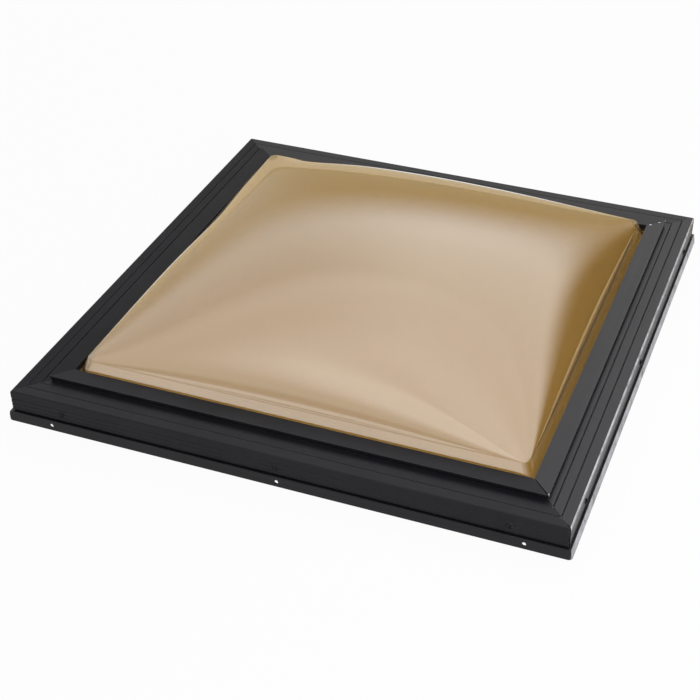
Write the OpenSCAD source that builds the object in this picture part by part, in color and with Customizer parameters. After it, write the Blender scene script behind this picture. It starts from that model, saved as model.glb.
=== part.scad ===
// Fixed roof skylight: a mitred retainer clamps a tinted dome and an opal dome onto a curb frame.
// The plan is centred on the origin, the front faces -Y, and the drip lip's lower edge lies at Z = 0.

/* [Roof curb] */
// Outside width of the roof curb, left to right
curb_w = 648; // [450:1:1000]
// Outside length of the roof curb, front to back
curb_l = 648; // [450:1:1000]
// Thickness of the curb's timber
curb_t = 38; // [30:0.5:42]
// Gap between the curb and the skirt on each side
curb_play = 3.8; // [3.2:0.1:6]

/* [Curb frame] */
// Wall of the skirt, shelf, stop and gutter
frame_t = 2.4; // [1.8:0.1:3]
// Height of the drip lip
lip_h = 11.7; // [9:0.1:14]
// Wall of the drip lip
lip_t = 2.2; // [1.6:0.1:2.6]
// How far the top of the lip stands out from the skirt
lip_out = 5.4; // [4:0.1:8]
// How much further the lower edge of the lip stands out
lip_flare = 2.2; // [0:0.1:4]
// Plan radius on the corners of the lip
lip_corner_r = 5; // [2:0.5:6]
// Height of the glazing shelf's top above the lip's lower edge
shelf_z = 28.4; // [27:0.1:32]
// Gap between the curb's inner face and the gutter
gutter_gap = 2; // [1:0.1:4]
// Clear width of the condensation gutter
gutter_w = 14; // [10:0.5:16]
// Depth of the gutter below the shelf's underside
gutter_drop = 9; // [6:0.5:12]
// Height of the gutter's inner lip above the shelf's top
gutter_lip_rise = 1; // [0:0.1:1.5]

/* [Retainer] */
// Width of the retainer's rails, outer face to inner edge
rail_w = 55; // [50:0.5:60]
// Width of the raised inner band
band_w = 21.6; // [18:0.1:26]
// Height of the band above the outer ledge
band_rise = 7; // [6:0.1:8]
// Overhang of the band past its riser
band_overhang = 1.2; // [0.6:0.1:2]
// Depth of the bead under the band's inner edge
bead_h = 6.5; // [5:0.1:9]
// Wall of the ledge, riser, band and bead
plate_t = 2.2; // [1.8:0.1:2.6]
// Wall of the outer leg
leg_t = 2.5; // [2:0.1:3]
// Slip gap between the leg and the skirt
slip_gap = 0.3; // [0.2:0.1:0.6]
// Shadow gap between the leg and the drip lip
reveal = 1.8; // [1:0.1:3]
// Radius along the outer top edge
edge_r = 2.4; // [1:0.1:3]
// Distance of the outer ledge groove from the outer face
groove_outer = 14; // [8:0.5:16]
// Distance of the inner ledge groove from the outer face
groove_inner = 25.9; // [20:0.1:28]
// Depth of the ledge grooves
groove_d = 0.9; // [0.5:0.1:1.2]
// Drop of the upper line on the leg below the ledge
line_drop = 11; // [8:0.5:12]
// Drop of the screw guide groove below the ledge
guide_drop = 17; // [16:0.1:17.5]
// Drop of the lower line on the leg below the ledge
foot_drop = 22; // [20:0.1:23]
// Depth of the lines on the leg
line_d = 0.7; // [0.4:0.1:1]
// Width of the retainer's closed mitre joints
mitre_gap = 0.3; // [0.1:0.1:0.8]
// Width of the mitre joint that has opened at the front right corner
open_mitre = 1.4; // [0.3:0.1:2]

/* [Domes] */
// Thickness of the tinted outer dome
outer_t = 3; // [2.5:0.1:3.5]
// Thickness of the opal inner dome
inner_t = 2.5; // [2:0.1:3]
// Gap in plan between the retainer's inner edge and the fold of the outer dome
fold_gap = 8.5; // [8.5:0.1:12]
// Height of the outer dome's fold above the band
fold_rise = 10; // [6:0.1:14]
// Rise of the outer crown above its fold
crown_rise = 72; // [50:1:140]
// Plan radius at the corners of the outer fold
fold_corner_r = 12; // [10:0.5:20]
// Slope of each dome's upstand, from level
upstand_slope = 68; // [66:1:80]
// Fillet between the flange and the upstand of each dome
dome_fillet_r = 1.5; // [1:0.1:1.6]
// Radius on the fold itself
fold_r = 1.2; // [0.8:0.1:2]
// Gap in plan between the two domes' upstands
dome_gap = 3.2; // [2.5:0.1:8]
// Height of the inner dome's upstand above its flange
inner_upstand = 17; // [12:0.5:18]
// Difference in rise between the two crowns
crown_gap = 2; // [1:0.5:14]
// Fullness of the crowns: 1 is a plain blown sheet, less is squarer
crown_power = 0.6; // [0.5:0.05:1]

/* [Seals] */
// Thickness of the tape between the shelf and the inner dome
tape_t = 2; // [1.5:0.1:3]
// Thickness of the spacer strip between the domes
spacer_t = 2.6; // [2:0.1:4]
// Thickness of the gasket under the retainer's bead
gasket_t = 1.5; // [1:0.1:2.5]
// Width of the gasket under the bead
gasket_w = 7; // [5:0.5:10]
// Width of the tape and of the spacer strip
strip_w = 14; // [10:0.5:14.5]
// Thickness of the foam seal between the shelf and the curb
seal_t = 3; // [2:0.1:3.4]
// Gap where two seal strips meet at a corner
strip_gap = 0.6; // [0.4:0.1:1]
// Edge clearance of flanges, seals and keys
edge_gap = 1; // [0.5:0.1:1]

/* [Fasteners] */
// Distance of the end screws from the retainer's outer corners
screw_end = 66; // [50:1:90]
// Diameter of the screw shanks
screw_d = 4.2; // [3.5:0.1:4.8]
// Diameter of the screw heads
screw_head_d = 8; // [7:0.1:9]
// Height of the screw heads
screw_head_h = 2.4; // [1.8:0.1:3]
// Length of the cross recess in the screw heads
recess_l = 4.4; // [3.5:0.1:5]
// Width of the cross recess
recess_w = 1.2; // [0.8:0.1:1.4]
// Depth of the cross recess
recess_d = 1.4; // [1:0.1:1.6]
// Length of shank past the skirt's inner face
screw_tip = 2.4; // [1:0.1:3]
// Clearance on the diameter of the screw holes
screw_clear = 0.2; // [0.1:0.1:0.6]
// Diameter of the fixing holes in the drip lip
lip_hole_d = 4.8; // [4:0.1:5.5]
// Height of the fixing holes above the lip's lower edge
lip_hole_z = 5.4; // [4.5:0.1:6]
// Distance of the left fixing hole from the rail's left corner
lip_hole_left = 52.5; // [40:0.5:80]
// Distance of the right fixing hole from the rail's right corner
lip_hole_right = 47.5; // [40:0.5:80]
// Length of each leg of the corner keys
key_leg = 70; // [50:1:90]
// Thickness of the corner keys
key_t = 3; // [2:0.1:4]

/* [Hidden] */
$fn = 48;
slack = 1;
arc_n = 5;
side_n = 12;
crown_n = 10;
fillet_n = 4;
crown_spread = 1.6;
ring_n = 4 * (arc_n + side_n);

// Half sizes to the skirt's inner face, the datum of every rail
half_w = curb_w / 2 + curb_play;
half_l = curb_l / 2 + curb_play;

// Distances out from the datum, with inward ones negative
skirt_out = frame_t;
leg_in = skirt_out + slip_gap;
leg_out = leg_in + leg_t;
lip_top_out = skirt_out + lip_out;
lip_low_out = lip_top_out + lip_flare;
band_in = leg_out - rail_w;
band_out = band_in + band_w;
riser_out = band_out - band_overhang;
riser_in = riser_out - plate_t;
flange_out = riser_in - edge_gap;
web_out = -(curb_play + curb_t + gutter_gap);
gutter_in = web_out - frame_t - gutter_w;
fold_in = band_in - fold_gap;
inner_fold_in = fold_in - outer_t - dome_gap;

// Heights of the glazing stack, from the shelf up
inner_z = shelf_z + tape_t;
spacer_z = inner_z + inner_t;
outer_z = spacer_z + spacer_t;
gasket_z = outer_z + outer_t;
bead_z = gasket_z + gasket_t;
band_z = bead_z + bead_h;
ledge_z = band_z - band_rise;
leg_z = lip_h + reveal;
skirt_top = ledge_z - plate_t - edge_gap / 2;
seal_z = shelf_z - frame_t - seal_t;
gutter_z = shelf_z - frame_t - gutter_drop;
guide_z = ledge_z - guide_drop;
fold_z = band_z + fold_rise;
inner_fold_z = spacer_z + inner_upstand;

// Each side holds its turn about Z, its distance out and its half length along
FRONT = [180, half_l, half_w];
BACK = [0, half_l, half_w];
LEFT = [90, half_w, half_l];
RIGHT = [-90, half_w, half_l];
SIDES = [FRONT, BACK, LEFT, RIGHT];

frame_colour = "#3a3a3e";
retainer_colour = "#404044";
dome_colour = [0.66, 0.5, 0.3, 0.55];
opal_colour = "#f1ede4";
seal_colour = "#1d1d1f";
foam_colour = "#55555a";
screw_colour = "#242426";
key_colour = "#a9abae";

// A rail's own frame: X along it, Y outward from the datum, Z up. Seen from outside, +X is the left end.
module on_side(side) {
    rotate([0, 0, side[0]])
        translate([0, side[1], 0])
            children();
}

// Straight bar of a 2D section, with both ends mitred; each end stops short of the mitre line
module mitred_bar(half, left_short, right_short) {
    low = -rail_w - gutter_w - slack;
    high = lip_low_out + slack;
    bar = half + high;
    left_end = half - left_short * sqrt(2);
    right_end = half - right_short * sqrt(2);
    intersection() {
        translate([-bar, 0, 0])
            rotate([90, 0, 90])
                linear_extrude(2 * bar)
                    children();
        linear_extrude(band_z + slack)
            polygon([
                [-right_end - low, low],
                [left_end + low, low],
                [left_end + high, high],
                [-right_end - high, high]
            ]);
    }
}

// Rectangle in a section between two distances out and two heights
module wall(out_a, out_b, z_a, z_b) {
    translate([out_a, z_a])
        square([out_b - out_a, z_b - z_a]);
}

// V groove of a given depth, cut square to the surface at a point
module v_groove(depth) {
    rotate(45)
        square(depth * sqrt(2), center = true);
}

// Rectangle in plan with round corners
module round_plan(half_x, half_y, r) {
    square([2 * half_x - 2 * r, 2 * half_y], center = true);
    square([2 * half_x, 2 * half_y - 2 * r], center = true);
    for (x = [-1, 1], y = [-1, 1])
        translate([x * (half_x - r), y * (half_y - r)])
            circle(r);
}

// Places of the three screws along a rail
function screw_places(side) =
    let (reach = side[2] + leg_out - screw_end)
    [-reach, 0, reach];

// Places of the three fixing holes along a rail's lip
function lip_hole_places(side) =
    let (
        corner = side[2] + leg_out,
        left = corner - lip_hole_left,
        right = lip_hole_right - corner
    )
    [left, (left + right) / 2, right];

// Round hole through a rail's outer walls
module cross_hole(x, z, d, out_a, out_b) {
    translate([x, out_a, z])
        rotate([-90, 0, 0])
            cylinder(h = out_b - out_a, d = d);
}

// Retainer: outer leg, grooved ledge, riser, raised band and clamping bead
module retainer_section() {
    difference() {
        union() {
            wall(leg_in, leg_out, leg_z, ledge_z);
            wall(riser_in, leg_out, ledge_z - plate_t, ledge_z);
            wall(riser_in, riser_out, ledge_z - plate_t, band_z);
            wall(band_in, band_out, band_z - plate_t, band_z);
            wall(band_in, band_in + plate_t, bead_z, band_z);
        }
        difference() {
            wall(leg_out - edge_r, leg_out + slack, ledge_z - edge_r, ledge_z + slack);
            translate([leg_out - edge_r, ledge_z - edge_r])
                circle(edge_r);
        }
        for (u = [groove_outer, groove_inner])
            translate([leg_out - u, ledge_z])
                v_groove(groove_d);
        for (drop = [line_drop, guide_drop, foot_drop])
            translate([leg_out, ledge_z - drop])
                v_groove(line_d);
    }
}

module retainer(side, left_joint, right_joint) {
    color(retainer_colour)
        on_side(side)
            difference() {
                mitred_bar(side[2], left_joint / 2, right_joint / 2)
                    retainer_section();
                for (x = screw_places(side))
                    cross_hole(x, guide_z, screw_d + 2 * screw_clear, leg_in - slack, leg_out + slack);
            }
}

// Curb frame: skirt with drip lip, glazing shelf with its stop, and condensation gutter
module curb_frame_section() {
    lean = lip_flare * frame_t / lip_h;
    polygon([
        [0, lip_h - frame_t],
        [lip_top_out - lip_t + lean, lip_h - frame_t],
        [lip_low_out - lip_t, 0],
        [lip_low_out, 0],
        [lip_top_out, lip_h],
        [skirt_out, lip_h],
        [skirt_out, skirt_top],
        [0, skirt_top]
    ]);
    wall(web_out - frame_t, skirt_out / 2, shelf_z - frame_t, shelf_z);
    wall(riser_in, riser_in + frame_t, shelf_z - frame_t, skirt_top);
    wall(web_out - frame_t, web_out, gutter_z, shelf_z);
    wall(gutter_in - frame_t, web_out, gutter_z, gutter_z + frame_t);
    wall(gutter_in - frame_t, gutter_in, gutter_z, shelf_z + gutter_lip_rise);
}

module curb_frame(side) {
    color(frame_colour)
        intersection() {
            on_side(side)
                difference() {
                    mitred_bar(side[2], 0, 0)
                        curb_frame_section();
                    for (x = screw_places(side))
                        cross_hole(x, guide_z, screw_d + screw_clear, -screw_tip - slack, skirt_out + slack);
                    for (x = lip_hole_places(side))
                        cross_hole(x, lip_hole_z, lip_hole_d, skirt_out, lip_low_out + slack);
                }
            translate([0, 0, -slack])
                linear_extrude(band_z)
                    round_plan(half_w + lip_low_out, half_l + lip_low_out, lip_corner_r);
        }
}

// Flat angle that slides under the ledges and lines up a mitre; its corner points to +X +Y
module corner_key_plate() {
    outer = -edge_gap;
    inner = riser_in + frame_t + edge_gap;
    leg_w = outer - inner;
    translate([outer, outer, ledge_z - plate_t - key_t])
        linear_extrude(key_t)
            polygon([
                [0, 0],
                [-key_leg, 0],
                [-key_leg, -leg_w],
                [-leg_w, -leg_w],
                [-leg_w, -key_leg],
                [0, -key_leg]
            ]);
}

module corner_key(x_side, y_side) {
    color(key_colour)
        translate([x_side * half_w, y_side * half_l, 0])
            mirror([x_side < 0 ? 1 : 0, 0, 0])
                mirror([0, y_side < 0 ? 1 : 0, 0])
                    corner_key_plate();
}

// Points of a rounded rectangle in plan, the same number for every size
function corner_points(a, b, r, q) =
    let (sx = [1, -1, -1, 1][q], sy = [1, 1, -1, -1][q])
    [for (k = [0 : arc_n])
        let (turn = 90 * (q + k / arc_n))
        [sx * (a - r) + r * cos(turn), sy * (b - r) + r * sin(turn)]];

function outline(a, b, r) =
    [for (q = [0 : 3])
        let (here = corner_points(a, b, r, q), next = corner_points(a, b, r, (q + 1) % 4))
        each concat(
            here,
            [for (k = [1 : side_n - 1]) here[arc_n] + (next[0] - here[arc_n]) * k / side_n]
        )];

// Level ring at a distance out from the datum
function level_ring(out, r, z) =
    [for (p = outline(half_w + out, half_l + out, r)) [p.x, p.y, z]];

// Ring of a blown crown, at a share of the way from its middle to its fold
function crown_ring(out, r, z, rise, share) =
    let (a = half_w + out, b = half_l + out)
    [for (p = outline(a * share, b * share, r * share))
        let (height = (1 - pow(p.x / a, 2)) * (1 - pow(p.y / b, 2)))
        [p.x, p.y, z + rise * pow(height, crown_power)]];

// Shares of the crown rings, closer together towards the fold
crown_shares = [for (k = [1 : crown_n]) 1 - pow(k / (crown_n + 1), crown_spread)];

// Blown sheet with a flat flange, a fillet, a sloping upstand, a crisp fold and a crown
module dome_shell(fold, corner_r, flange_z, t, top_z, rise) {
    fillet_z = flange_z + t + dome_fillet_r;
    foot_z = fillet_z - dome_fillet_r * cos(upstand_slope);
    foot = fold + (top_z - foot_z) / tan(upstand_slope);
    fillet_out = foot + dome_fillet_r * sin(upstand_slope);
    sheet_r = dome_fillet_r + t;
    under_z = fillet_z - sheet_r * cos(upstand_slope);
    under = fillet_out - sheet_r * sin(upstand_slope) - (top_z - t - under_z) / tan(upstand_slope);
    under_r = corner_r - t;
    crown_in = fold_r / 3;
    rings = concat(
        [for (k = [crown_n - 1 : -1 : 0])
            crown_ring(under, under_r, top_z - t, rise, crown_shares[k])],
        [level_ring(under, under_r, top_z - t)],
        [for (k = [fillet_n : -1 : 0])
            let (turn = upstand_slope * k / fillet_n)
            level_ring(fillet_out - sheet_r * sin(turn), corner_r, fillet_z - sheet_r * cos(turn))],
        [level_ring(flange_out, corner_r, flange_z)],
        [level_ring(flange_out, corner_r, flange_z + t)],
        [for (k = [0 : fillet_n])
            let (turn = upstand_slope * k / fillet_n)
            level_ring(
                fillet_out - dome_fillet_r * sin(turn),
                corner_r,
                fillet_z - dome_fillet_r * cos(turn)
            )],
        [level_ring(fold + fold_r / tan(upstand_slope), corner_r, top_z - fold_r)],
        [level_ring(fold - crown_in, corner_r - crown_in, top_z)],
        [for (k = [0 : crown_n - 1])
            crown_ring(fold - crown_in, corner_r - crown_in, top_z, rise, crown_shares[k])]
    );
    last = len(rings) - 1;
    points = concat(
        [for (ring = rings) each ring],
        [[0, 0, top_z - t + rise], [0, 0, top_z + rise]]
    );
    low_apex = len(points) - 2;
    high_apex = len(points) - 1;
    bands = [for (r = [0 : last - 1], k = [0 : ring_n - 1])
        let (n = (k + 1) % ring_n, a = r * ring_n, b = a + ring_n)
        each [[a + k, b + n, b + k], [a + k, a + n, b + n]]];
    caps = [for (k = [0 : ring_n - 1])
        let (n = (k + 1) % ring_n, top = last * ring_n)
        each [[low_apex, n, k], [high_apex, top + k, top + n]]];
    polyhedron(points, concat(bands, caps));
}

module outer_dome() {
    color(dome_colour)
        dome_shell(fold_in, fold_corner_r, outer_z, outer_t, fold_z, crown_rise);
}

module inner_dome() {
    color(opal_colour)
        dome_shell(inner_fold_in, fold_corner_r, inner_z, inner_t, inner_fold_z, crown_rise - crown_gap);
}

// Four seal strips, one along each side, that meet at mitred corners
module seal_strips(out_a, out_b, z, t) {
    for (side = SIDES)
        on_side(side)
            mitred_bar(side[2], strip_gap / 2, strip_gap / 2)
                wall(out_a, out_b, z, z + t);
}

module retainer_gasket() {
    color(seal_colour)
        seal_strips(band_in + slip_gap, band_in + slip_gap + gasket_w, gasket_z, gasket_t);
}

module dome_spacer() {
    color(seal_colour)
        seal_strips(flange_out - edge_gap - strip_w, flange_out - edge_gap, spacer_z, spacer_t);
}

module glazing_tape() {
    color(seal_colour)
        seal_strips(flange_out - edge_gap - strip_w, flange_out - edge_gap, shelf_z, tape_t);
}

module curb_seal() {
    color(foam_colour)
        seal_strips(web_out + gutter_gap, -curb_play, seal_z, seal_t);
}

// Pan head screw along +Y, with its head seated on the leg's outer face
module screw() {
    head_r = screw_head_d / 2;
    dome_r = (head_r * head_r + screw_head_h * screw_head_h) / (2 * screw_head_h);
    rotate([-90, 0, 0])
        difference() {
            union() {
                rotate_extrude()
                    intersection() {
                        translate([0, screw_head_h - dome_r])
                            circle(dome_r);
                        square([head_r, screw_head_h]);
                    }
                translate([0, 0, -leg_out - screw_tip])
                    cylinder(h = leg_out + screw_tip, d = screw_d);
            }
            for (turn = [0, 90])
                rotate([0, 0, turn])
                    translate([-recess_l / 2, -recess_w / 2, screw_head_h - recess_d])
                        cube([recess_l, recess_w, screw_head_h]);
        }
}

module screws(side) {
    color(screw_colour)
        on_side(side)
            for (x = screw_places(side))
                translate([x, leg_out, guide_z])
                    screw();
}

retainer(FRONT, mitre_gap, open_mitre);  // retainer_front
retainer(BACK, mitre_gap, mitre_gap);  // retainer_back
retainer(LEFT, mitre_gap, mitre_gap);  // retainer_left
retainer(RIGHT, open_mitre, mitre_gap);  // retainer_right
curb_frame(FRONT);  // curb_frame_front
curb_frame(BACK);  // curb_frame_back
curb_frame(LEFT);  // curb_frame_left
curb_frame(RIGHT);  // curb_frame_right
corner_key(-1, -1);  // corner_key_front_left
corner_key(1, -1);  // corner_key_front_right
corner_key(-1, 1);  // corner_key_back_left
corner_key(1, 1);  // corner_key_back_right
outer_dome();
inner_dome();
retainer_gasket();
dome_spacer();
glazing_tape();
curb_seal();
screws(FRONT);  // screws_front
screws(BACK);  // screws_back
screws(LEFT);  // screws_left
screws(RIGHT);  // screws_right
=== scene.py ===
"""Fixed roof skylight: a bronze acrylic dome over an opal one, in a black mitred aluminium frame."""
import math

import bpy
import numpy as np
from mathutils import Matrix, Vector


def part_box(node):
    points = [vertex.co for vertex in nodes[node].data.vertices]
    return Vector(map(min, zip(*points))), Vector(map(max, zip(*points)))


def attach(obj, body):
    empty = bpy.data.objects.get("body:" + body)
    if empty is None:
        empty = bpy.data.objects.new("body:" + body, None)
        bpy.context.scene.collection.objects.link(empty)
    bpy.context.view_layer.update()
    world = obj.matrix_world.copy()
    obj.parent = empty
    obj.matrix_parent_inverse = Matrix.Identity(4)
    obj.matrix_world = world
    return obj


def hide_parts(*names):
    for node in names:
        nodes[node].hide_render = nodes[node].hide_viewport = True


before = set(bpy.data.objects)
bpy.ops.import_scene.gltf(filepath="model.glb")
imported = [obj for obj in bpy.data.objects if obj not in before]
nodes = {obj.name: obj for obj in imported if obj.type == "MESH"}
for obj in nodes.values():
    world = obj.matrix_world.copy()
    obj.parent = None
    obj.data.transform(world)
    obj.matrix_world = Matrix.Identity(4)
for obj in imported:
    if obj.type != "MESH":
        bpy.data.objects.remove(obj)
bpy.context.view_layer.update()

MM = 0.001
WHITE = (1, 1, 1, 1)
SIDE_NAMES = ("front", "back", "left", "right")
CORNER_NAMES = ("front_left", "front_right", "back_left", "back_right")
STRIP_NAMES = ("retainer_gasket", "dome_spacer", "glazing_tape")

# Places on the frame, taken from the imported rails
rail_low, rail_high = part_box("retainer_right")
leg_face = rail_high.x
band_edge = rail_low.x
band_top = rail_high.z
lip_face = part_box("curb_frame_right")[1].x


# Camera

# Fitted to the photo: the picture's size and the pixel places are those of the photo
PICTURE = 700
FOCAL_PX = 1475.84
CENTRE_PX = (383.137, 345.901)
TARGET_PX = (381.248, 296.80)
TARGET = Vector((0, 0, 39.5 * MM))
CAMERA_AZIMUTH = math.radians(20.4875)
CAMERA_ELEVATION = math.radians(35.628)
CAMERA_DISTANCE = 1861.7 * MM
SENSOR_MM = 36
NEAR_CLIP = 50 * MM


def make_camera():
    """Camera at the photo's viewing angle, with the small shift that its crop needs."""
    sin_a, cos_a = math.sin(CAMERA_AZIMUTH), math.cos(CAMERA_AZIMUTH)
    sin_e, cos_e = math.sin(CAMERA_ELEVATION), math.cos(CAMERA_ELEVATION)
    back = Vector((sin_a * cos_e, -cos_a * cos_e, sin_e))
    right = Vector((cos_a, sin_a, 0))
    up = back.cross(right)
    aside = (TARGET_PX[0] - CENTRE_PX[0]) / FOCAL_PX * CAMERA_DISTANCE
    above = (CENTRE_PX[1] - TARGET_PX[1]) / FOCAL_PX * CAMERA_DISTANCE
    place = TARGET + back * CAMERA_DISTANCE - right * aside - up * above
    data = bpy.data.cameras.new("camera")
    data.sensor_width = SENSOR_MM
    data.lens = SENSOR_MM * FOCAL_PX / PICTURE
    data.shift_x = (PICTURE / 2 - CENTRE_PX[0]) / PICTURE
    data.shift_y = (CENTRE_PX[1] - PICTURE / 2) / PICTURE
    data.clip_start = NEAR_CLIP
    camera = bpy.data.objects.new("camera", data)
    camera.matrix_world = Matrix.Translation(place) @ Matrix((right, up, back)).transposed().to_4x4()
    bpy.context.scene.collection.objects.link(camera)
    bpy.context.scene.camera = camera


# Shader helpers

FLOAT = "NodeSocketFloat"
VECTOR = "NodeSocketVector"

# Most of what a noise puts out lies between these
NOISE_LOW = 0.3
NOISE_HIGH = 0.7

# Sockets of a Mix node when it mixes colours
MIX_FACTOR = 0
MIX_FIRST = 6
MIX_SECOND = 7
MIX_RESULT = 2


def new_material(name):
    """New material with its node tree and its Principled node."""
    mat = bpy.data.materials.new(name)
    mat.use_nodes = True
    tree = mat.node_tree
    return mat, tree, tree.nodes["Principled BSDF"]


def set_values(node, **values):
    """Set plain values on a node's inputs, named with _ for each space."""
    for key, value in values.items():
        node.inputs[key.replace("_", " ")].default_value = value


def add(tree, kind, **values):
    """New node; values that name an input set that input, others set the node's own property."""
    node = tree.nodes.new(kind)
    for key, value in values.items():
        if key.replace("_", " ") in node.inputs:
            set_values(node, **{key: value})
        else:
            setattr(node, key, value)
    return node


def join(tree, source, target):
    """Link from an output socket to an input socket."""
    tree.links.new(source, target)


def feed(tree, value, target):
    """Give an input a link from a socket, or a plain value."""
    if isinstance(value, bpy.types.NodeSocket):
        join(tree, value, target)
    else:
        target.default_value = value


def grey(level):
    """Grey of one level, as a colour."""
    return (level, level, level, 1)


def shade(colour, level):
    """A colour made darker or lighter."""
    return [part * level for part in colour] + [1]


def ramp(tree, source, low, high, start=NOISE_LOW, end=NOISE_HIGH):
    """Colour ramp from low to high, over the start to the end of a value socket."""
    node = tree.nodes.new("ShaderNodeValToRGB")
    for element, place, colour in zip(node.color_ramp.elements, (start, end), (low, high)):
        element.position = place
        element.color = colour
    join(tree, source, node.inputs["Fac"])
    return node.outputs["Color"]


def mix_colour(tree, factor, first, second):
    """Mix of two colours; each of the three may be a socket or a plain value."""
    node = tree.nodes.new("ShaderNodeMix")
    node.data_type = "RGBA"
    for value, socket in ((factor, MIX_FACTOR), (first, MIX_FIRST), (second, MIX_SECOND)):
        feed(tree, value, node.inputs[socket])
    return node.outputs[MIX_RESULT]


def maths(tree, operation, first, second):
    """Math node on sockets or plain numbers."""
    node = add(tree, "ShaderNodeMath", operation=operation)
    for value, target in zip((first, second), node.inputs):
        feed(tree, value, target)
    return node.outputs[0]


def vector_maths(tree, operation, first, second, result):
    """Vector math node on two sockets, as its Vector or Value output."""
    node = add(tree, "ShaderNodeVectorMath", operation=operation)
    join(tree, first, node.inputs[0])
    join(tree, second, node.inputs[1])
    return node.outputs[result]


def clamped(tree, source):
    """A value kept between 0 and 1."""
    node = tree.nodes.new("ShaderNodeClamp")
    join(tree, source, node.inputs["Value"])
    return node.outputs[0]


def object_place(tree):
    """Place on the piece, in its own frame."""
    return tree.nodes.new("ShaderNodeTexCoord").outputs["Object"]


def noise(tree, place, **values):
    """Noise over a place socket; values are its Scale, Detail and Roughness."""
    node = add(tree, "ShaderNodeTexNoise", **values)
    join(tree, place, node.inputs["Vector"])
    return node.outputs["Fac"]


def relief(tree, shader, height, strength, depth):
    """Bump the surface by a value socket."""
    node = add(tree, "ShaderNodeBump", Strength=strength, Distance=depth)
    join(tree, height, node.inputs["Height"])
    join(tree, node.outputs["Normal"], shader.inputs["Normal"])


def blend(tree, factor, first, second):
    """Mix of two shaders by a value socket."""
    node = tree.nodes.new("ShaderNodeMixShader")
    for source, target in zip((factor, first, second), node.inputs):
        join(tree, source, target)
    return node.outputs["Shader"]


def set_surface(tree, source, output="Material Output"):
    """Make a shader what the material or the world shows."""
    join(tree, source, tree.nodes[output].inputs["Surface"])


# Shader groups: the effects that the finishes use more than once

# Edge wear: how strongly a bend shows, and how much the patches break it up
BEVEL_SAMPLES = 6
WEAR_GAIN = 9.0
WEAR_BREAK = 1.8

# Dust: a speck's size in its cell, the film from which specks lie, and the film's build-up
SPECK_SIZE = 0.07
SPECKS_FROM = 0.58
FILM_POWER = 3.0
FILM_SHARE = 0.8

# Bare spots and painted glints: how far out and how sharply their edges fray
SPOT_FRAY = 1.6
SPOT_SHARPNESS = 6.0

# Painted highlight lines along outer edges: the faintest patches, and the noise from which they are full
LINE_FAINTEST = 0.35
LINE_FULL_FROM = 0.6


def new_group(name, inputs, outputs):
    """Empty shader node group; inputs are (kind, name, value) and outputs are names of values."""
    group = bpy.data.node_groups.new(name, "ShaderNodeTree")
    for kind, label, value in inputs:
        socket = group.interface.new_socket(name=label, in_out="INPUT", socket_type=kind)
        socket.default_value = value
    for label in outputs:
        group.interface.new_socket(name=label, in_out="OUTPUT", socket_type=FLOAT)
    start = group.nodes.new("NodeGroupInput")
    end = group.nodes.new("NodeGroupOutput")
    return group, start.outputs, end.inputs


def place_group(tree, group, **values):
    """The group as a node in a material, with its own values."""
    node = tree.nodes.new("ShaderNodeGroup")
    node.node_tree = group
    set_values(node, **values)
    return node


def edge_wear_group():
    """Mask of rubbed edges: where a rounded normal leaves the true one, broken up by noise."""
    group, given, result = new_group(
        "edge_wear", [(FLOAT, "Width", 0.6 * MM), (FLOAT, "Amount", 0.5)], ["Mask"])
    rounded = add(group, "ShaderNodeBevel", samples=BEVEL_SAMPLES)
    join(group, given["Width"], rounded.inputs["Radius"])
    true_normal = group.nodes.new("ShaderNodeNewGeometry").outputs["Normal"]
    match = vector_maths(group, "DOT_PRODUCT", rounded.outputs["Normal"], true_normal, "Value")
    patches = noise(group, object_place(group), Scale=38.0, Detail=6.0, Roughness=0.62)
    edge = maths(group, "MULTIPLY", maths(group, "SUBTRACT", 1.0, match), WEAR_GAIN)
    broken = maths(group, "MULTIPLY", edge, maths(group, "POWER", patches, WEAR_BREAK))
    join(group, clamped(group, maths(group, "MULTIPLY", broken, given["Amount"])), result["Mask"])
    return group


def drawn_streaks_group():
    """Fine lines that extruding leaves along a bar, and the slow shade changes beside them."""
    group, given, result = new_group(
        "drawn_streaks", [(VECTOR, "Stretch", (1, 1, 1))], ["Lines", "Shade"])
    place = object_place(group)
    stretched = vector_maths(group, "MULTIPLY", place, given["Stretch"], "Vector")
    join(group, noise(group, stretched, Scale=900.0, Detail=3.0, Roughness=0.6), result["Lines"])
    join(group, noise(group, place, Scale=7.0, Detail=4.0, Roughness=0.55), result["Shade"])
    return group


def dust_group():
    """Mask of fine settled dust with a few larger specks."""
    group, given, result = new_group("settled_dust", [(FLOAT, "Amount", 0.3)], ["Mask"])
    place = object_place(group)
    film = noise(group, place, Scale=14.0, Detail=5.0, Roughness=0.6)
    specks = add(group, "ShaderNodeTexVoronoi", Scale=120.0, Randomness=1.0)
    join(group, place, specks.inputs["Vector"])
    dots = maths(group, "LESS_THAN", specks.outputs["Distance"], SPECK_SIZE)
    rare = maths(group, "GREATER_THAN", film, SPECKS_FROM)
    haze = maths(group, "MULTIPLY", maths(group, "POWER", film, FILM_POWER), FILM_SHARE)
    both = maths(group, "ADD", haze, maths(group, "MULTIPLY", dots, rare))
    join(group, clamped(group, maths(group, "MULTIPLY", both, given["Amount"])), result["Mask"])
    return group


def burr_and_glint_spot_group():
    """Mask of one ragged spot round a point of the part, used for bare burrs and painted glints."""
    group, given, result = new_group(
        "burr_and_glint_spot", [(VECTOR, "Point", (0, 0, 0)), (FLOAT, "Radius", 3 * MM)], ["Mask"])
    place = object_place(group)
    ragged = noise(group, place, Scale=700.0, Detail=3.0, Roughness=0.6)
    apart = vector_maths(group, "DISTANCE", place, given["Point"], "Value")
    share = maths(group, "DIVIDE", apart, given["Radius"])
    inside = maths(group, "SUBTRACT", maths(group, "MULTIPLY", ragged, SPOT_FRAY), share)
    join(group, clamped(group, maths(group, "MULTIPLY", inside, SPOT_SHARPNESS)), result["Mask"])
    return group


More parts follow.
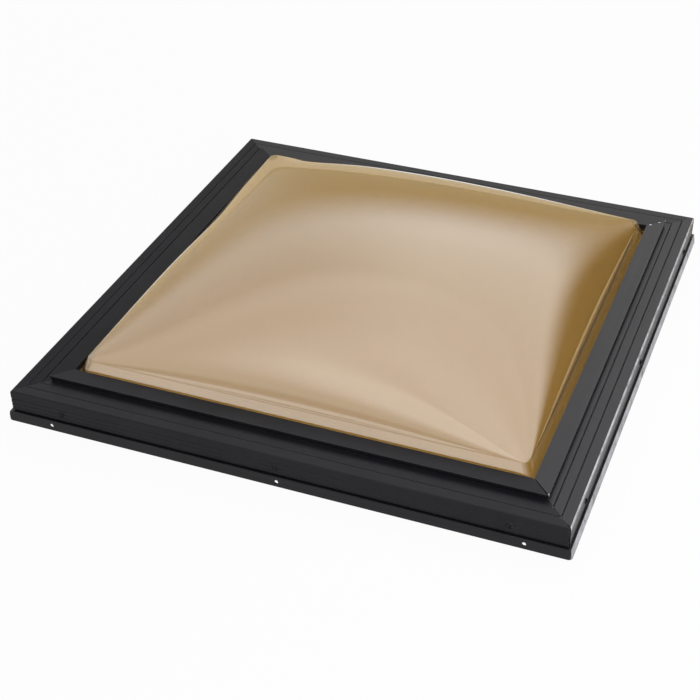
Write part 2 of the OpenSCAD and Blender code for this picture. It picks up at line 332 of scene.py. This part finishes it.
def painted_highlight_line_group():
    """Mask of a painted highlight line along an outer edge: what lies beyond both distances, broken up a
    little.
    """
    group, given, result = new_group(
        "painted_highlight_line", [(FLOAT, "From X", 0.0), (FLOAT, "From Z", 0.0)], ["Mask"])
    place = object_place(group)
    apart = group.nodes.new("ShaderNodeSeparateXYZ")
    join(group, place, apart.inputs[0])
    patches = noise(group, place, Scale=60.0, Detail=4.0, Roughness=0.6)
    beyond_x = maths(group, "GREATER_THAN", apart.outputs["X"], given["From X"])
    beyond_z = maths(group, "GREATER_THAN", apart.outputs["Z"], given["From Z"])
    share = ramp(group, patches, grey(LINE_FAINTEST), WHITE, end=LINE_FULL_FROM)
    beyond = maths(group, "MULTIPLY", beyond_x, beyond_z)
    join(group, maths(group, "MULTIPLY", beyond, share), result["Mask"])
    return group


def strip_grain_group():
    """Fine cells of rubber and foam."""
    group, given, result = new_group("strip_grain", [(FLOAT, "Scale", 900.0)], ["Cells"])
    cells = noise(group, object_place(group), Detail=4.0, Roughness=0.7)
    join(group, given["Scale"], cells.node.inputs["Scale"])
    join(group, cells, result["Cells"])
    return group


EDGE_WEAR = edge_wear_group()
DRAWN_STREAKS = drawn_streaks_group()
DUST = dust_group()
BURR_AND_GLINT_SPOT = burr_and_glint_spot_group()
PAINTED_HIGHLIGHT_LINE = painted_highlight_line_group()
STRIP_GRAIN = strip_grain_group()


# Finishes

# Black coating: spread of its shade and roughness, and what lies on it or shows through; its rubbed grey
# is partly painted highlight on the right side, and its bare metal grey also paints glints
COAT_SHADES = (0.82, 1.22)
COAT_SMOOTHER = 0.05
COAT_ROUGHER = 0.07
COAT_DUST = 0.09
COAT_DUST_GREY = (0.12, 0.12, 0.12, 1)
RUBBED_AND_HIGHLIT_GREY = (0.26, 0.26, 0.28, 1)
BARE_METAL_AND_GLINT = (0.72, 0.72, 0.74, 1)


def black_coating(name, stretch, colour, roughness, shine, wear_and_highlight, spots=(), painted_highlight=None):
    """Satin black coating on extruded aluminium, with drawing lines, dust, rubbed edges and bare spots;
    where given, also painted glints, a painted highlight line, and stronger rubbed edges that are partly
    painted highlight.
    """
    mat, tree, shader = new_material(name)
    streaks = place_group(tree, DRAWN_STREAKS, Stretch=stretch)
    wear_and_highlight_width, wear_and_highlight_amount = wear_and_highlight
    rubbed = place_group(tree, EDGE_WEAR, Width=wear_and_highlight_width, Amount=wear_and_highlight_amount)
    dust = place_group(tree, DUST, Amount=COAT_DUST)
    low, high = (shade(colour, level) for level in COAT_SHADES)
    coat = ramp(tree, streaks.outputs["Shade"], low, high)
    coat = mix_colour(tree, dust.outputs["Mask"], coat, COAT_DUST_GREY)
    # Rubbed edges in grey; on the right side they are stronger and partly painted highlight
    coat = mix_colour(tree, rubbed.outputs["Mask"], coat, RUBBED_AND_HIGHLIT_GREY)
    # Painted highlight: a lighter grey line along an outer edge, standing in for the light that the edge
    # catches
    if painted_highlight:
        from_x, from_z, highlight_grey = painted_highlight
        line = place_group(tree, PAINTED_HIGHLIGHT_LINE, From_X=from_x, From_Z=from_z)
        coat = mix_colour(tree, line.outputs["Mask"], coat, highlight_grey)
    # Bare burrs, and painted glints in bare-metal grey
    for point, radius in spots:
        spot = place_group(tree, BURR_AND_GLINT_SPOT, Point=point, Radius=radius)
        coat = mix_colour(tree, spot.outputs["Mask"], coat, BARE_METAL_AND_GLINT)
    join(tree, coat, shader.inputs["Base Color"])
    lines = streaks.outputs["Lines"]
    rough = ramp(tree, lines, grey(roughness - COAT_SMOOTHER), grey(roughness + COAT_ROUGHER))
    join(tree, rough, shader.inputs["Roughness"])
    relief(tree, shader, lines, strength=0.06, depth=0.2 * MM)
    set_values(shader, Specular_IOR_Level=shine)
    return mat


# Bare aluminium: stretch of its tool marks, and the range of its colour and roughness
MARKS_STRETCH = (1, 1, 0.02)
MILL_DARK = (0.5, 0.5, 0.52, 1)
MILL_LIGHT = (0.8, 0.8, 0.82, 1)
MILL_SMOOTHEST = 0.28
MILL_ROUGHEST = 0.45


def bare_aluminium(name):
    """Cut or unfinished aluminium: grey metal with fine tool marks."""
    mat, tree, shader = new_material(name)
    marks = place_group(tree, DRAWN_STREAKS, Stretch=MARKS_STRETCH)
    join(tree, ramp(tree, marks.outputs["Lines"], MILL_DARK, MILL_LIGHT), shader.inputs["Base Color"])
    rough = ramp(tree, marks.outputs["Shade"], grey(MILL_SMOOTHEST), grey(MILL_ROUGHEST))
    join(tree, rough, shader.inputs["Roughness"])
    set_values(shader, Metallic=1.0)
    return mat


# Rubber and foam strips: spread of their shade, and their dust
STRIP_SHADES = (0.7, 1.4)
STRIP_DUST = 0.3
STRIP_DUST_GREY = (0.2, 0.19, 0.18, 1)


def strip_rubber(name, colour, grain):
    """Matt rubber or foam strip with a fine grain."""
    mat, tree, shader = new_material(name)
    cells = place_group(tree, STRIP_GRAIN, Scale=grain).outputs["Cells"]
    dust = place_group(tree, DUST, Amount=STRIP_DUST)
    low, high = (shade(colour, level) for level in STRIP_SHADES)
    base = mix_colour(tree, dust.outputs["Mask"], ramp(tree, cells, low, high), STRIP_DUST_GREY)
    join(tree, base, shader.inputs["Base Color"])
    relief(tree, shader, cells, strength=0.35, depth=0.3 * MM)
    set_values(shader, Roughness=0.85)
    return mat


# Tint of the whole sheet, and of each of its two faces
TINT = (0.40, 0.275, 0.105, 1)
TINT_ONE_FACE = tuple(math.sqrt(part) for part in TINT[:3]) + (1,)
SHEET_DUST = 0.03
POLISHED = 0.02
DUSTY = 0.3


def bronze_acrylic(name):
    """Clear tinted sheet with a polished face; light from the lamps passes through it tinted."""
    mat, tree, shader = new_material(name)
    dust = place_group(tree, DUST, Amount=SHEET_DUST)
    set_values(shader, Base_Color=TINT, Transmission_Weight=0.86, IOR=1.49)
    rough = ramp(tree, dust.outputs["Mask"], grey(POLISHED), grey(DUSTY), start=0.0, end=1.0)
    join(tree, rough, shader.inputs["Roughness"])
    set_values(shader, Coat_Weight=1.0, Coat_Roughness=0.03, Coat_IOR=1.85)
    lamp_light = tree.nodes.new("ShaderNodeLightPath").outputs["Is Shadow Ray"]
    clear = add(tree, "ShaderNodeBsdfTransparent", Color=TINT_ONE_FACE)
    set_surface(tree, blend(tree, lamp_light, shader.outputs["BSDF"], clear.outputs["BSDF"]))
    return mat


# Opal sheet: its clouded white, and a painted glow, an emission that stands in for light passed up from a
# bright room below it
OPAL_DARK = (0.8, 0.79, 0.77, 1)
OPAL_LIGHT = (0.86, 0.85, 0.83, 1)
OPAL_PAINTED_GLOW_COLOUR = (1, 0.86, 0.62, 1)
OPAL_PAINTED_GLOW = 0.58


def opal_acrylic(name):
    """White light-spreading sheet under the tinted one, with a painted glow."""
    mat, tree, shader = new_material(name)
    cloud = noise(tree, object_place(tree), Scale=5.0, Detail=3.0, Roughness=0.5)
    join(tree, ramp(tree, cloud, OPAL_DARK, OPAL_LIGHT), shader.inputs["Base Color"])
    # Painted glow: the sheet gives off light though it is no lamp
    set_values(shader, Roughness=0.35, Emission_Color=OPAL_PAINTED_GLOW_COLOUR, Emission_Strength=OPAL_PAINTED_GLOW)
    return mat


# Domes

# Density of the meshes; crowding draws the crown's rings towards its edge
ARC_STEPS = 10
SIDE_STEPS = 56
CROWN_RINGS = 44
RING_CROWDING = 1.7
FILLET_STEPS = 5

# Tinted sheet: place of its fold from the rail's band, and the form of fold, upstand and crown
FOLD_GAP = 8.5 * MM
FOLD_RISE = 10 * MM
FOLD_CORNER_R = 12 * MM
FOLD_R = 1.2 * MM
UPSTAND_SLOPE = math.radians(68)
FOOT_FILLET_R = 1.5 * MM
CROWN_POWER = 0.6
OUTER_T = 3 * MM
INNER_T = 2.5 * MM

# Room between the sheets beside the fold and under the crown
DOME_GAP = 1.2 * MM
CROWN_GAP = 0.8 * MM

# How far in from the tinted sheet's fold its underside folds, rounded from its thickness and slope
UNDER_FOLD = 2.02 * MM

# How far in from its fold a sheet's crown starts
CROWN_INSET = FOLD_R / 3

# Round the fold, in fold radii: drops down the upstand, then (outwards, down) of the bend's points
FOLD_DROPS = (3.0, 1.6, 1.0)
FOLD_BEND = ((0.1, 0.45), (-0.12, 0.1))

# Where the blown sheets have drawn in at the left and sagged at the back left: middle, half length, depth
LEFT_BOW = (50 * MM, 85 * MM, 4.5 * MM)
BACK_SAG = (-185 * MM, 48 * MM, 4.5 * MM)
BOW_REACH = 30 * MM


def plan_ring(half, corner_r):
    """Points of a square plan with round corners, counted the same way for every size."""
    points = []
    for quarter in range(4):
        turns = (quarter + np.linspace(0, 1, ARC_STEPS + 1)) * math.pi / 2
        middle = (quarter + 0.5) * math.pi / 2
        centre = (half - corner_r) * np.sign([math.cos(middle), math.sin(middle)])
        arc = centre + corner_r * np.column_stack((np.cos(turns), np.sin(turns)))
        next_centre = np.array((-centre[1], centre[0]))
        next_arc = next_centre + corner_r * np.array((math.cos(turns[-1]), math.sin(turns[-1])))
        steps = np.linspace(0, 1, SIDE_STEPS + 1)[1:-1, None]
        points += [arc, arc[-1] + (next_arc - arc[-1]) * steps]
    return np.vstack(points)


def level_ring(half, z, corner_r=FOLD_CORNER_R):
    """Ring of one height."""
    plan = plan_ring(half, corner_r)
    return np.column_stack((plan, np.full(len(plan), z)))


def crown_rings(edge, corner_r, z, rise, spread):
    """Rings of a blown crown, from a level edge in to its middle; its height runs out at its spread."""
    rings = [level_ring(edge, z, corner_r)]
    for share in 1 - np.linspace(0, 1, CROWN_RINGS + 1)[1:-1] ** RING_CROWDING:
        plan = plan_ring(edge * share, corner_r * share)
        height = np.prod(np.clip(1 - (plan / spread) ** 2, 0, 1), axis=1)
        rings.append(np.column_stack((plan, z + rise * height ** CROWN_POWER)))
    return rings


def fillet_rings(out, z, radius):
    """Rings round the fillet at the foot of the upstand, from the flange up."""
    turns = np.linspace(0, UPSTAND_SLOPE, FILLET_STEPS)
    return [level_ring(out - radius * math.sin(turn), z - radius * math.cos(turn)) for turn in turns]


def fold_rings(fold, fold_z):
    """Rings up the top of the upstand and round the fold."""
    lean = math.cos(UPSTAND_SLOPE) / math.sin(UPSTAND_SLOPE)
    bend = [(drop * lean, drop) for drop in FOLD_DROPS] + list(FOLD_BEND)
    return [level_ring(fold + outwards * FOLD_R, fold_z - down * FOLD_R) for outwards, down in bend]


def sheet_rings(fold, flange, flange_z, t, fold_z, rise, spread=None):
    """Rings over a dome's whole skin: under the crown, round the flange's edge and back over the top.

    A spread beyond the fold lets the crown follow a larger sheet above it.
    """
    sin_s, cos_s = math.sin(UPSTAND_SLOPE), math.cos(UPSTAND_SLOPE)
    sheet_r = FOOT_FILLET_R + t
    fillet_z = flange_z + sheet_r
    foot_z = fillet_z - FOOT_FILLET_R * cos_s
    fillet_out = fold + (fold_z - foot_z) * cos_s / sin_s + FOOT_FILLET_R * sin_s
    under_z = fillet_z - sheet_r * cos_s
    under = fillet_out - sheet_r * sin_s - (fold_z - t - under_z) * cos_s / sin_s
    top = fold - CROWN_INSET
    rings = crown_rings(under, FOLD_CORNER_R - t, fold_z - t, rise, spread or under)[::-1]
    rings += fillet_rings(fillet_out, fillet_z, sheet_r)[::-1]
    rings += [level_ring(flange, z) for z in (flange_z, flange_z + t)]
    rings += fillet_rings(fillet_out, fillet_z, FOOT_FILLET_R)
    rings += fold_rings(fold, fold_z)
    rings += crown_rings(top, FOLD_CORNER_R, fold_z, rise, spread or top)
    return [bowed(ring, fold, flange_z + t, fold_z) for ring in rings]


def bowed(points, fold, foot_z, fold_z):
    """The sheet's points with the drawn-in left edge and the sagging back edge."""
    x, y, z = points.T
    high = np.clip((z - foot_z) / (fold_z - foot_z), 0, 1)
    middle, length, depth = LEFT_BOW
    left = np.exp(-((y - middle) / length) ** 2 - ((np.minimum(x, 0) + fold) / BOW_REACH) ** 2)
    x = x + depth * high * left
    middle, length, sag = BACK_SAG
    back = np.exp(-((x - middle) / length) ** 2 - ((np.maximum(y, 0) - fold) / BOW_REACH) ** 2)
    z = z - sag * high * back
    return np.column_stack((x, y, z))


def skin(name, rings):
    """Closed smooth mesh through a list of rings with equal counts, capped at both ends."""
    count = len(rings[0])
    vertices = np.vstack(rings)
    faces = []
    here = np.arange(count)
    after = (here + 1) % count
    for step in range(len(rings) - 1):
        low, high = step * count, (step + 1) * count
        faces += np.column_stack((low + here, low + after, high + after, high + here)).tolist()
    last = (len(rings) - 1) * count
    faces += [here[::-1].tolist(), (last + here).tolist()]
    mesh = bpy.data.meshes.new(name)
    mesh.from_pydata(vertices.tolist(), [], faces)
    mesh.shade_smooth()
    mesh.validate()
    piece = bpy.data.objects.new(name, mesh)
    bpy.context.scene.collection.objects.link(piece)
    return piece


def make_domes(tinted, opal):
    """Both blown sheets, dense and smooth, in place of their faceted solids."""
    fold = band_edge - FOLD_GAP
    fold_z = band_top + FOLD_RISE
    low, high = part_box("outer_dome")
    rise = high.z - fold_z
    outer = skin("tinted_dome", sheet_rings(fold, high.x, low.z, OUTER_T, fold_z, rise))
    outer.data.materials.append(tinted)
    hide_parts("outer_dome")
    inner_fold = fold - OUTER_T - DOME_GAP
    inner_fold_z = fold_z - OUTER_T - CROWN_GAP
    low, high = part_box("inner_dome")
    inner = skin("opal_dome", sheet_rings(inner_fold, high.x, low.z, INNER_T, inner_fold_z, rise,
                                          fold - UNDER_FOLD))
    inner.data.materials.append(opal)
    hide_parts("inner_dome")
    for piece in (outer, inner):
        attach(piece, "root")


# Frame

WELD_REACH = 0.01 * MM
EDGE_BREAK = 0.35 * MM
EDGE_SEGMENTS = 2
EDGE_ANGLE = math.radians(40)

# How far the drawing lines are stretched along a bar
ALONG_X = (0.004, 1, 1)
ALONG_Y = (1, 0.004, 1)
UNSTRETCHED = (1, 1, 1)

# Coatings: colour and roughness; the rails' shine is set for each side, to follow the photo's light
RETAINER_COAT = ((0.009, 0.0085, 0.011), 0.34)
CURB_COAT = ((0.008, 0.0075, 0.010), 0.30)
SCREW_COAT = ((0.005, 0.005, 0.0055), 0.4)
RETAINER_SHINE = {"front": 0.15, "back": 0.22, "left": 0.085, "right": 0.33}
CURB_SHINE = 0.26
SCREW_SHINE = 0.12

# Width and strength of rubbed edges; the right side's are stronger, partly as painted highlight on its
# edges
PLAIN_WEAR = (0.5 * MM, 0.3)
RIGHT_WEAR_AND_HIGHLIGHT = (0.6 * MM, 0.5)
SCREW_WEAR = (0.5 * MM, 0.35)

# Painted highlights along the right side's top outer edge and lip: from how far out and how high up, and
# their grey
RIGHT_EDGE_HIGHLIGHT = (leg_face - 1.5 * MM, 37.0 * MM, (0.60, 0.60, 0.63, 1))
RIGHT_LIP_HIGHLIGHT = (lip_face - 2.5 * MM, 0.0, (0.40, 0.40, 0.42, 1))

# Bare burrs at the right rail's front mitre, and painted glints in bare-metal grey along its back mitre,
# with their sizes
STEP_AT = 299.6 * MM
EDGE_BURR_Z = 38.5 * MM
BACK_MITRE_GLINTS = ((282 * MM, 2.6 * MM), (292 * MM, 2.2 * MM), (STEP_AT, 2.6 * MM))
RIGHT_BURRS_AND_GLINTS = (
    ((STEP_AT, -STEP_AT, band_top), 4.0 * MM),
    ((leg_face, -leg_face, EDGE_BURR_Z), 4.5 * MM),
    *(((at, at, band_top), radius) for at, radius in BACK_MITRE_GLINTS),
)

# Strips: colour and grain
GASKET_RUBBER = ((0.018, 0.018, 0.018), 900)
SEAL_FOAM = ((0.07, 0.07, 0.075), 500)


def dress(node, material, bevel=0):
    """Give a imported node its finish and, where asked, softly broken edges."""
    piece = nodes[node]
    piece.data.materials.clear()
    piece.data.materials.append(material)
    if bevel:
        weld = piece.modifiers.new("weld", "WELD")
        weld.merge_threshold = WELD_REACH
        edge = piece.modifiers.new("broken_edges", "BEVEL")
        edge.width = bevel
        edge.segments = EDGE_SEGMENTS
        edge.limit_method = "ANGLE"
        edge.angle_limit = EDGE_ANGLE
        edge.harden_normals = True


def dress_side(side):
    """Coatings of one side's retainer and curb frame; the right side has stronger rubbed edges that are
    partly painted highlight, painted highlight lines on its rail's outer edge and its lip, bare burrs at
    its front mitre and painted glints at its back mitre.
    """
    way = ALONG_X if side in ("front", "back") else ALONG_Y
    wear_and_highlight, spots, rail_highlight, lip_highlight = PLAIN_WEAR, (), None, None
    if side == "right":
        wear_and_highlight, spots, rail_highlight, lip_highlight = RIGHT_WEAR_AND_HIGHLIGHT, RIGHT_BURRS_AND_GLINTS, RIGHT_EDGE_HIGHLIGHT, RIGHT_LIP_HIGHLIGHT
    rail = black_coating("retainer_black_" + side, way, *RETAINER_COAT, RETAINER_SHINE[side], wear_and_highlight,
                         spots, rail_highlight)
    curb = black_coating("curb_black_" + side, way, *CURB_COAT, CURB_SHINE, wear_and_highlight, painted_highlight=lip_highlight)
    dress("retainer_" + side, rail, EDGE_BREAK)
    dress("curb_frame_" + side, curb, EDGE_BREAK)


def dress_frame():
    """Finishes of the rails, curb frame, screws, keys, strips and seal."""
    for side in SIDE_NAMES:
        dress_side(side)
    screw_coat = black_coating("screw_black", UNSTRETCHED, *SCREW_COAT, SCREW_SHINE, SCREW_WEAR)
    for side in SIDE_NAMES:
        dress("screws_" + side, screw_coat)
    metal = bare_aluminium("mill_aluminium")
    for corner in CORNER_NAMES:
        dress("corner_key_" + corner, metal)
    rubber = strip_rubber("gasket_rubber", *GASKET_RUBBER)
    for strip in STRIP_NAMES:
        dress(strip, rubber)
    dress("curb_seal", strip_rubber("seal_foam", *SEAL_FOAM))


# Stage: sizes and distances in metres

WORLD_GREY = (0.72, 0.73, 0.75, 1)
WORLD_LEVEL = 0.6
FLOOR_HALF = 6.0
FLOOR_GREY = (0.9, 0.9, 0.9, 1)
FLOOR_WHITE = 0.94
LAMP_TARGET = Vector((0, 0, 0.05))


def seen_rays(tree):
    """1 for what the camera sees directly, in a reflection or through a clear sheet."""
    rays = tree.nodes.new("ShaderNodeLightPath").outputs
    seen = maths(tree, "MAXIMUM", rays["Is Camera Ray"], rays["Is Glossy Ray"])
    return maths(tree, "MAXIMUM", seen, rays["Is Transmission Ray"])


def make_world():
    """Soft light from all round, and a white background where it is seen."""
    scene = bpy.context.scene
    scene.view_settings.view_transform = "Standard"
    world = bpy.data.worlds.new("studio")
    scene.world = world
    world.use_nodes = True
    tree = world.node_tree
    light = tree.nodes["Background"]
    set_values(light, Color=WORLD_GREY, Strength=WORLD_LEVEL)
    white = add(tree, "ShaderNodeBackground", Color=WHITE, Strength=1.0)
    set_surface(tree, blend(tree, seen_rays(tree), light.outputs[0], white.outputs[0]), "World Output")


def floor_white(name):
    """White that keeps a faint shadow of the part, and is clear from below."""
    mat, tree, shader = new_material(name)
    set_values(shader, Base_Color=FLOOR_GREY, Roughness=0.9, Specular_IOR_Level=0.0)
    white = add(tree, "ShaderNodeEmission", Color=WHITE, Strength=1.0)
    share = maths(tree, "MULTIPLY", seen_rays(tree), FLOOR_WHITE)
    above = blend(tree, share, shader.outputs[0], white.outputs[0])
    from_below = tree.nodes.new("ShaderNodeNewGeometry").outputs["Backfacing"]
    clear = tree.nodes.new("ShaderNodeBsdfTransparent").outputs[0]
    set_surface(tree, blend(tree, from_below, above, clear))
    return mat


def make_floor():
    """Plain floor under the part."""
    mesh = bpy.data.meshes.new("floor")
    h = FLOOR_HALF
    mesh.from_pydata([(-h, -h, 0), (h, -h, 0), (h, h, 0), (-h, h, 0)], [], [(0, 1, 2, 3)])
    mesh.materials.append(floor_white("floor_white"))
    floor = bpy.data.objects.new("floor", mesh)
    bpy.context.scene.collection.objects.link(floor)


def soft_lamp(name, place, size, watts):
    """Large area lamp that looks at the part and is not mirrored in it."""
    data = bpy.data.lights.new(name, "AREA")
    data.shape = "RECTANGLE"
    data.size, data.size_y = size
    data.energy = watts
    lamp = bpy.data.objects.new(name, data)
    lamp.location = place
    lamp.rotation_euler = (LAMP_TARGET - Vector(place)).to_track_quat("-Z", "Y").to_euler()
    lamp.visible_glossy = False
    lamp.visible_transmission = False
    bpy.context.scene.collection.objects.link(lamp)


# Cards that the glossy sheet mirrors: angles in degrees, azimuths from the back and to the right

WARM_WALL = (1.0, 0.76, 0.40, 1)
CARD_STEPS = 48
CARD_DISTANCE = 4.0
CEILING_DISTANCE = 3.8
FLAG_DISTANCE = 3.6
RIGHT_DISTANCE = 3.5
FRONT_DISTANCE = 3.4
FLOOR_FLAG_REACH = (0.5, 5.9)
FLOOR_FLAG_Z = 1 * MM
FLOOR_FLAG_COVER = 0.85
ALL_ROUND = (-180, 180)
ZENITH = 90

# Azimuths where a card starts, is full, starts to fade and ends
BACK_FLAG_SPAN = (-75, -50, 24, 48)
RIGHT_FLAG_SPAN = (2, 28, 105, 150)
BRIGHT_CARD_SPAN = (-90, -60, 45, 75)
FRONT_CARD_SPAN = (150, 172, 203, 225)

# Top of both flags at the left, its rises further right, and its soft edge below and above
FLAG_TOP = 20
FLAG_RISE = 11
FLAG_FAR_RISE = 10
FLAG_SOFT_BELOW = 9
FLAG_SOFT_ABOVE = 8

# Least cover of a card, and what it gains on its fuller side
BACK_FLAG_COVER = (0.7, 0.25)
WALL_COVER = (0.1, 0.75)
OVERHEAD_COVER = (0.6, 0.4)
CEILING_COVER = (0.5, 0.5)

# Elevations from the foot to the top of a card
FLAG_HEIGHTS = (-2, FLAG_TOP + FLAG_RISE + FLAG_FAR_RISE + FLAG_SOFT_ABOVE)
BRIGHT_HEIGHTS = (16, ZENITH)
CEILING_HEIGHTS = (48, ZENITH)
FRONT_HEIGHTS = (0.5, 30)


def soft_step(values, start, end):
    """Smooth change from 0 at start to 1 at end."""
    share = np.clip((values - start) / (end - start), 0, 1)
    return share * share * (3 - 2 * share)


def soft_span(values, start, full, fade, end):
    """Smooth rise from start to full, and fall from fade to end."""
    return soft_step(values, start, full) * (1 - soft_step(values, fade, end))


def ends(span):
    """Azimuths where a card starts and ends."""
    return span[0], span[-1]


def fuller(cover, share):
    """Cover at a share of the way from a card's thinner to its fuller side."""
    least, gain = cover
    return least + gain * share


def flag_height(azimuth, elevation):
    """1 low down and 0 higher up, with a top that rises to the right."""
    rise = FLAG_RISE * soft_step(azimuth, start=6, end=36)
    top = FLAG_TOP + rise + FLAG_FAR_RISE * soft_step(azimuth, start=35, end=90)
    return 1 - soft_step(elevation, start=top - FLAG_SOFT_BELOW, end=top + FLAG_SOFT_ABOVE)


def back_flag_cover(azimuth, elevation):
    """A dull warm wall at the left and back, up to where the dark right flag takes over."""
    across = fuller(BACK_FLAG_COVER, soft_step(azimuth, start=-42, end=-24))
    return soft_span(azimuth, *BACK_FLAG_SPAN) * across * flag_height(azimuth, elevation)


def right_flag_cover(azimuth, elevation):
    """A dark wall at the right."""
    return soft_span(azimuth, *RIGHT_FLAG_SPAN) * flag_height(azimuth, elevation)


def floor_flag_cover(azimuth):
    """Covers the floor all round but in front, where the front rails mirror it."""
    return FLOOR_FLAG_COVER * (1 - soft_step(np.abs(azimuth), start=100, end=140))


def bright_card_cover(azimuth, elevation):
    """A bright wall and ceiling behind, brightest to the right of the middle."""
    across = fuller(WALL_COVER, soft_step(azimuth, start=-40, end=-8))
    wall = soft_step(elevation, start=16, end=32) * soft_span(azimuth, *BRIGHT_CARD_SPAN) * across
    across = fuller(OVERHEAD_COVER, soft_step(azimuth, start=-50, end=-10))
    overhead = soft_step(elevation, start=38, end=50) * across
    return np.maximum(wall, overhead)


def ceiling_card_cover(azimuth, elevation):
    """A brighter ceiling, fuller towards the front."""
    across = fuller(CEILING_COVER, soft_step(np.abs(azimuth), start=50, end=110))
    return soft_step(elevation, start=54, end=74) * across


def front_card_cover(azimuth, elevation):
    """A low bright card in front."""
    return soft_span(azimuth, *FRONT_CARD_SPAN) * (1 - soft_step(elevation, start=18, end=30))


def card_grid(azimuths, others):
    """Azimuth and a second measure at every point of a card, row by row."""
    spans = (np.linspace(*span, CARD_STEPS) for span in (azimuths, others))
    return (grid.ravel() for grid in np.meshgrid(*spans))


def card_face(name, level, colour):
    """Even light where the card covers, and clear elsewhere."""
    mat, tree, _ = new_material(name)
    cover = add(tree, "ShaderNodeAttribute", attribute_name="cover").outputs["Fac"]
    lit = add(tree, "ShaderNodeEmission", Color=colour, Strength=level).outputs[0]
    clear = tree.nodes.new("ShaderNodeBsdfTransparent").outputs[0]
    set_surface(tree, blend(tree, cover, clear, lit))
    return mat


def make_card(name, points, cover, level, colour, shades=False):
    """Card through a grid of points, seen only in reflections; cover says how solid it is at each point.

    A card that shades is also seen through the tinted sheet, so it darkens the opal one.
    """
    first = (np.arange(CARD_STEPS - 1)[:, None] * CARD_STEPS + np.arange(CARD_STEPS - 1)).ravel()
    faces = np.column_stack((first, first + 1, first + CARD_STEPS + 1, first + CARD_STEPS))
    mesh = bpy.data.meshes.new(name)
    mesh.from_pydata(points.tolist(), [], faces.tolist())
    layer = mesh.attributes.new("cover", "FLOAT", "POINT")
    layer.data.foreach_set("value", cover.astype(np.float32))
    mesh.materials.append(card_face(name + "_face", level, colour))
    card = bpy.data.objects.new(name, mesh)
    bpy.context.scene.collection.objects.link(card)
    card.visible_camera = False
    card.visible_diffuse = False
    card.visible_transmission = shades
    card.visible_shadow = False


def sky_card(name, azimuths, elevations, level, cover, distance=CARD_DISTANCE, colour=WHITE, shades=False):
    """Curved card round the part."""
    azimuth, elevation = card_grid(azimuths, elevations)
    turn, lift = np.radians(azimuth), np.radians(elevation)
    ways = (np.sin(turn) * np.cos(lift), np.cos(turn) * np.cos(lift), np.sin(lift))
    make_card(name, distance * np.column_stack(ways), cover(azimuth, elevation), level, colour, shades)


def floor_card(name, level, cover, colour):
    """Flat ring just over the floor."""
    azimuth, reach = card_grid(ALL_ROUND, FLOOR_FLAG_REACH)
    turn = np.radians(azimuth)
    height = np.full(len(turn), FLOOR_FLAG_Z)
    points = np.column_stack((reach * np.sin(turn), reach * np.cos(turn), height))
    make_card(name, points, cover(azimuth), level, colour)


def make_stage():
    """White surroundings, soft lamps, and cards whose mirror images shade the sheet and the rails."""
    make_world()
    make_floor()
    soft_lamp("back_softbox", place=(-0.6, 2.4, 2.8), size=(2.6, 2.0), watts=30)
    soft_lamp("right_softbox", place=(1.7, -0.9, 1.3), size=(1.6, 1.6), watts=25)
    sky_card("back_flag", ends(BACK_FLAG_SPAN), FLAG_HEIGHTS, level=0.42, cover=back_flag_cover,
             distance=FLAG_DISTANCE, colour=WARM_WALL)
    sky_card("right_flag", ends(RIGHT_FLAG_SPAN), FLAG_HEIGHTS, level=0.0, cover=right_flag_cover,
             distance=RIGHT_DISTANCE, shades=True)
    floor_card("floor_flag", level=0.6, cover=floor_flag_cover, colour=WARM_WALL)
    sky_card("bright_card", ALL_ROUND, BRIGHT_HEIGHTS, level=1.8, cover=bright_card_cover)
    sky_card("ceiling_card", ALL_ROUND, CEILING_HEIGHTS, level=2.5, cover=ceiling_card_cover,
             distance=CEILING_DISTANCE)
    sky_card("front_card", ends(FRONT_CARD_SPAN), FRONT_HEIGHTS, level=2.0, cover=front_card_cover,
             distance=FRONT_DISTANCE)


make_camera()
dress_frame()
make_domes(bronze_acrylic("bronze_acrylic"), opal_acrylic("opal_acrylic"))
make_stage()
